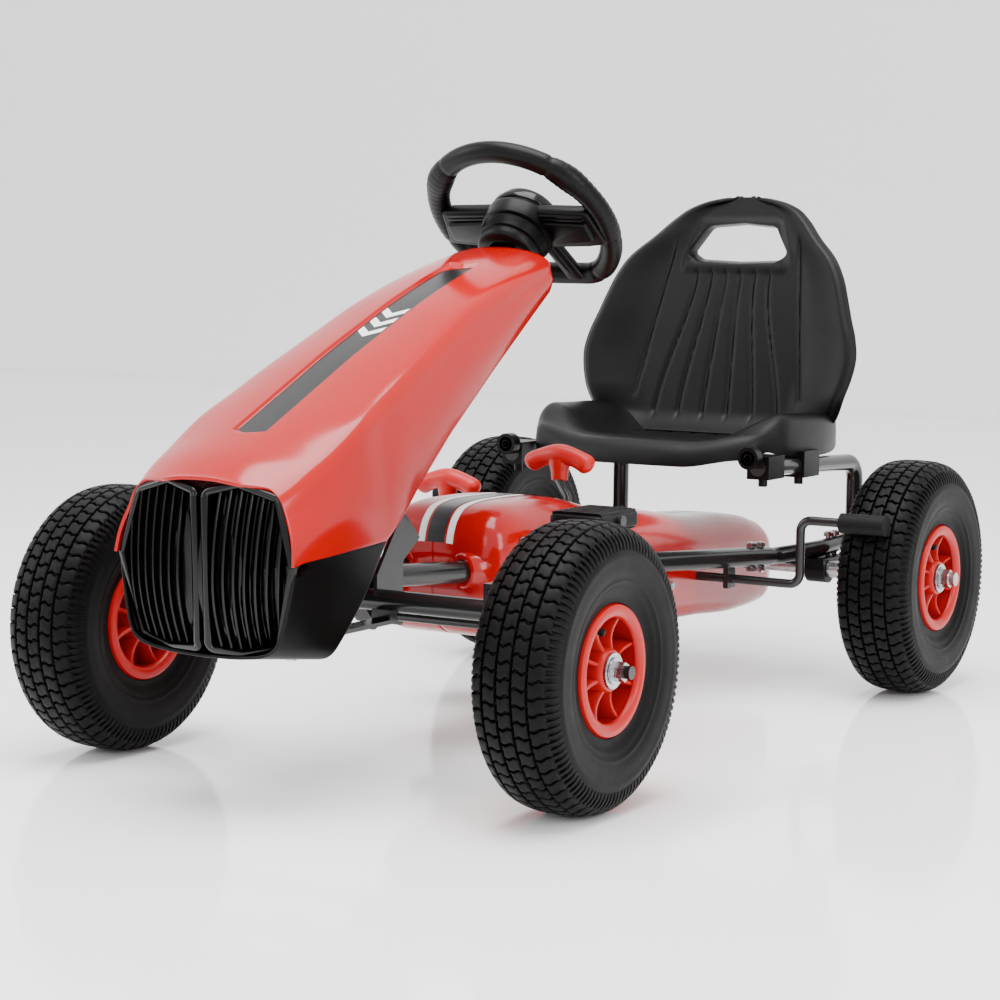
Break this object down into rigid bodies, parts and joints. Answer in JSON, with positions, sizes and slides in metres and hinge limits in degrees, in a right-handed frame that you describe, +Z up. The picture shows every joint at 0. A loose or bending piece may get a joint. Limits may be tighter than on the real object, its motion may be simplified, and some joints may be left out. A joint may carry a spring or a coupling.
{
  "type": "pedal go kart",
  "caption": "Child's pedal go kart with air tyres, a hood over the steering column, a chain cover between the feet and a moulded seat on a tube frame.",
  "frame": {"origin": "on the ground, at the middle of the overall length and width", "axes": "+Z up, the kart drives towards -Y, +X is its left side"},
  "size_m": [0.634, 1.094, 0.6],
  "materials": {
    "tyre": "moulded tread",
    "red_wheel_plastic": "moulded, satin",
    "rubber": "matt",
    "zinc_steel": "zinc plated",
    "oiled_steel": "oiled",
    "black_powder_coat": "gloss",
    "red_body_plastic": "gloss",
    "red_grip_plastic": "satin",
    "black_gloss_plastic": "gloss",
    "black_satin_plastic": "fine grain"
  },
  "bodies": {
    "frame": {"main_frame": "black_powder_coat", "rear_tube_left": "black_powder_coat", "rear_tube_right": "black_powder_coat", "frame_bolts": "zinc_steel", "bearing_block_left": "black_satin_plastic", "bearing_block_right": "black_satin_plastic", "hood": "red_body_plastic", "nose_fairing": "black_gloss_plastic", "fairing_screws": "zinc_steel", "grille": "black_gloss_plastic", "chain_cover_left": "red_body_plastic", "chain_cover_right": "red_body_plastic", "cover_screws": "zinc_steel", "crank_bushes": "black_satin_plastic", "column_bushes": "black_satin_plastic", "chain": "oiled_steel", "kingpins": "zinc_steel"},
    "steering": {"steering_shaft": "black_powder_coat", "steering_wheel": "black_satin_plastic", "steering_cap": "black_satin_plastic"},
    "knuckle_left": {"knuckle_left": "black_powder_coat", "front_nut_left": "zinc_steel"},
    "knuckle_right": {"knuckle_right": "black_powder_coat", "front_nut_right": "zinc_steel"},
    "tie_rod": {"tie_rod": "black_powder_coat", "tie_rod_bolts": "zinc_steel"},
    "wheel_front_left": {"tyre_front_left": "tyre", "rim_front_left": "red_wheel_plastic", "inner_tube_front_left": "rubber", "bearings_front_left": "zinc_steel"},
    "wheel_front_right": {"tyre_front_right": "tyre", "rim_front_right": "red_wheel_plastic", "inner_tube_front_right": "rubber", "bearings_front_right": "zinc_steel"},
    "rear_axle": {"rear_axle": "zinc_steel", "rear_sprocket": "oiled_steel", "rear_nuts": "zinc_steel", "tyre_rear_left": "tyre", "rim_rear_left": "red_wheel_plastic", "inner_tube_rear_left": "rubber", "bearings_rear_left": "zinc_steel"},
    "wheel_rear_right": {"tyre_rear_right": "tyre", "rim_rear_right": "red_wheel_plastic", "inner_tube_rear_right": "rubber", "bearings_rear_right": "zinc_steel"},
    "crank": {"crank": "black_powder_coat", "chainwheel": "oiled_steel"},
    "pedal_left": {"pedal_left": "black_satin_plastic"},
    "pedal_right": {"pedal_right": "black_satin_plastic"},
    "brake": {"brake_lever": "black_powder_coat", "brake_grip": "red_grip_plastic", "brake_sleeves": "rubber"},
    "gear": {"gear_lever": "black_powder_coat", "gear_grip": "red_grip_plastic"},
    "seat": {"seat": "black_satin_plastic", "seat_shoes": "black_satin_plastic"},
    "knob_left": {"seat_knob_left": "black_satin_plastic"},
    "knob_right": {"seat_knob_right": "black_satin_plastic"}
  },
  "joints": [
    {"name": "steering_turn", "type": "hinge", "parent": "frame", "child": "steering", "pos_m": [0, 0.004, 0.521], "axis": [0, 0.7071, 0.7071], "range_deg": [-24, 24]},
    {"name": "knuckle_left_turn", "type": "hinge", "parent": "frame", "child": "knuckle_left", "pos_m": [0.19, -0.326, 0.172], "axis": [0, 0, 1], "range_deg": [-29.5, 29.5]},
    {"name": "knuckle_right_turn", "type": "hinge", "parent": "frame", "child": "knuckle_right", "pos_m": [-0.19, -0.326, 0.172], "axis": [0, 0, 1], "range_deg": [-29.5, 29.5]},
    {"name": "tie_rod_turn", "type": "hinge", "parent": "knuckle_left", "child": "tie_rod", "pos_m": [0.19, -0.264, 0.148], "axis": [0, 0, 1], "range_deg": [-29.5, 29.5]},
    {"name": "wheel_front_left_spin", "type": "hinge", "parent": "knuckle_left", "child": "wheel_front_left", "pos_m": [0.258, -0.326, 0.13], "axis": [1, 0, 0], "continuous": true},
    {"name": "wheel_front_right_spin", "type": "hinge", "parent": "knuckle_right", "child": "wheel_front_right", "pos_m": [-0.258, -0.326, 0.13], "axis": [1, 0, 0], "continuous": true},
    {"name": "rear_axle_spin", "type": "hinge", "parent": "frame", "child": "rear_axle", "pos_m": [0, 0.417, 0.13], "axis": [1, 0, 0], "continuous": true},
    {"name": "wheel_rear_right_spin", "type": "hinge", "parent": "rear_axle", "child": "wheel_rear_right", "pos_m": [-0.264, 0.417, 0.13], "axis": [1, 0, 0], "continuous": true},
    {"name": "crank_spin", "type": "hinge", "parent": "frame", "child": "crank", "pos_m": [0, -0.001, 0.169], "axis": [1, 0, 0], "continuous": true},
    {"name": "pedal_left_spin", "type": "hinge", "parent": "crank", "child": "pedal_left", "pos_m": [0.134, -0.08055, 0.2296], "axis": [1, 0, 0], "continuous": true},
    {"name": "pedal_right_spin", "type": "hinge", "parent": "crank", "child": "pedal_right", "pos_m": [-0.134, 0.07855, 0.1084], "axis": [1, 0, 0], "continuous": true},
    {"name": "brake_pull", "type": "hinge", "parent": "frame", "child": "brake", "pos_m": [0, 0.289, 0.128], "axis": [1, 0, 0], "range_deg": [-3.5, 0]},
    {"name": "gear_shift", "type": "hinge", "parent": "frame", "child": "gear", "pos_m": [0.017, 0.059, 0.168], "axis": [1, 0, 0], "range_deg": [-12, 12]},
    {"name": "seat_slide", "type": "slide", "parent": "frame", "child": "seat", "axis": [0, 0.9989, -0.0459], "range_m": [-0.02, 0]},
    {"name": "knob_left_turn", "type": "hinge", "parent": "seat", "child": "knob_left", "pos_m": [0.152, 0.229, 0.269], "axis": [0, 1, 0], "range_deg": [0, 180]},
    {"name": "knob_right_turn", "type": "hinge", "parent": "seat", "child": "knob_right", "pos_m": [-0.152, 0.229, 0.269], "axis": [0, 1, 0], "range_deg": [0, 180]}
  ],
  "couplings": [
    {"joint": "knuckle_left_turn", "follows": "steering_turn", "ratio": 1.215},
    {"joint": "knuckle_right_turn", "follows": "steering_turn", "ratio": 1.215},
    {"joint": "tie_rod_turn", "follows": "steering_turn", "ratio": -1.215},
    {"joint": "crank_spin", "follows": "rear_axle_spin", "ratio": 0.5}
  ]
}
